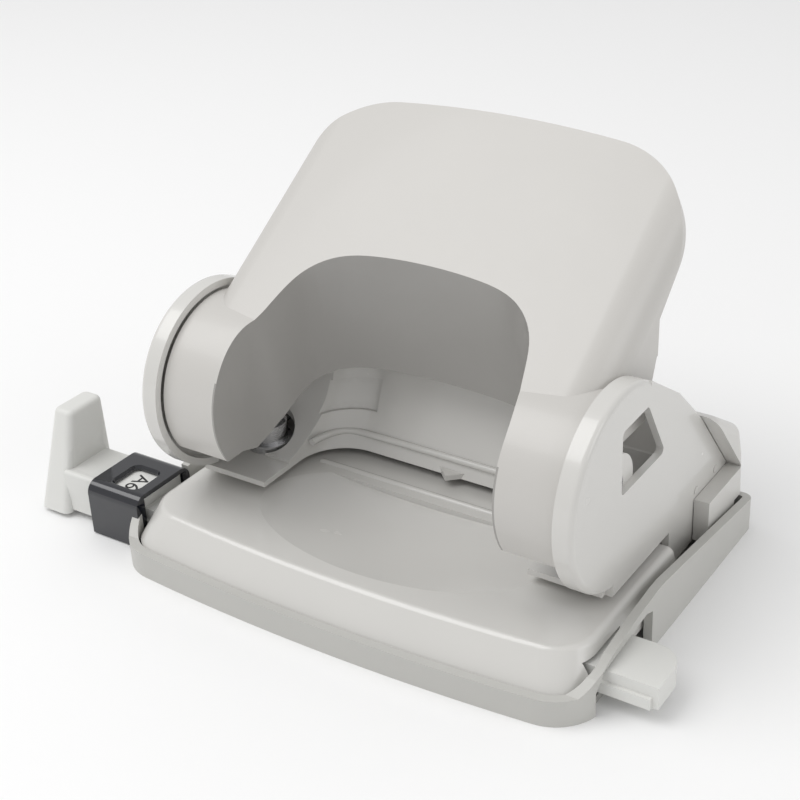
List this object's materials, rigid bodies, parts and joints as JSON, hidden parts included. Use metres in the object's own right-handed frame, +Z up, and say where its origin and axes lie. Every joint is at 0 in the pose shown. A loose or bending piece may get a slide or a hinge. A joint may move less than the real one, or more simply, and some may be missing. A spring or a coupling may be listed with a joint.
{
  "type": "two-hole paper punch",
  "caption": "Desk paper punch with a sprung pressing handle, chip tray and sliding paper-stop rail.",
  "frame": {"origin": "on the underside plane, midway between the axes of the two punch pins", "axes": "+Z up, +Y to the rear of the punch, +X towards the end where the rail's tail leaves"},
  "size_m": [0.146, 0.0804, 0.0834],
  "materials": {
    "gloss_paint": "gloss off-white paint",
    "handle_plastic": "satin pearl off-white",
    "cover_plastic": "semi-gloss off-white",
    "tray_plastic": "satin greyish white",
    "stop_plastic": "satin white",
    "black_plastic": "gloss black",
    "strip_card": "printed white strip",
    "steel": "ground steel",
    "spring_steel": "drawn wire"
  },
  "bodies": {
    "tray": {"chip_tray": "tray_plastic", "hinge_pins": "steel", "rail_housing": "black_plastic", "detent_spring": "spring_steel"},
    "base": {"base_plate": "gloss_paint", "frame_bridge": "gloss_paint", "cheek_rivets": "gloss_paint", "deck_rivets": "steel", "rear_cover": "cover_plastic", "die_bush_left": "steel", "die_bush_right": "steel", "frame_cheek_left": "gloss_paint", "frame_cheek_right": "gloss_paint", "bearing_plate_left": "cover_plastic", "bearing_plate_right": "cover_plastic", "pivot_stub_left": "steel", "pivot_stub_right": "steel", "pin_guide_left": "steel", "pin_guide_right": "steel", "return_spring_left": "spring_steel", "return_spring_right": "spring_steel"},
    "handle": {"handle_shell": "handle_plastic", "lever_plate_left": "steel", "lever_plate_right": "steel", "press_pin_left": "steel", "press_pin_right": "steel"},
    "pin_left": {"punch_pin_left": "steel", "spring_seat_left": "steel"},
    "pin_right": {"punch_pin_right": "steel", "spring_seat_right": "steel"},
    "rail": {"stop_rail": "stop_plastic", "format_strip": "strip_card"}
  },
  "joints": [
    {"name": "tray_opening", "type": "hinge", "parent": "tray", "child": "base", "pos_m": [0, 0.0402, 0.0046], "axis": [-1, 0, 0], "range_deg": [0, 60]},
    {"name": "handle_press", "type": "hinge", "parent": "base", "child": "handle", "pos_m": [0, -0.0082, 0.0342], "axis": [-1, 0, 0], "range_deg": [0, 30], "stiffness_Nm_per_rad": 0.3, "springref_deg": -20.05},
    {"name": "pin_left_stroke", "type": "slide", "parent": "base", "child": "pin_left", "axis": [0, 0, -1], "range_m": [0, 0.0044], "deforming": ["return_spring_left"]},
    {"name": "pin_right_stroke", "type": "slide", "parent": "base", "child": "pin_right", "axis": [0, 0, -1], "range_m": [0, 0.0044], "deforming": ["return_spring_right"]},
    {"name": "rail_slide", "type": "slide", "parent": "tray", "child": "rail", "axis": [-1, 0, 0], "range_m": [0, 0.0745]}
  ],
  "couplings": [
    {"joint": "pin_left_stroke", "follows": "handle_press", "m_per_rad": 0.0082},
    {"joint": "pin_right_stroke", "follows": "handle_press", "m_per_rad": 0.0082}
  ]
}
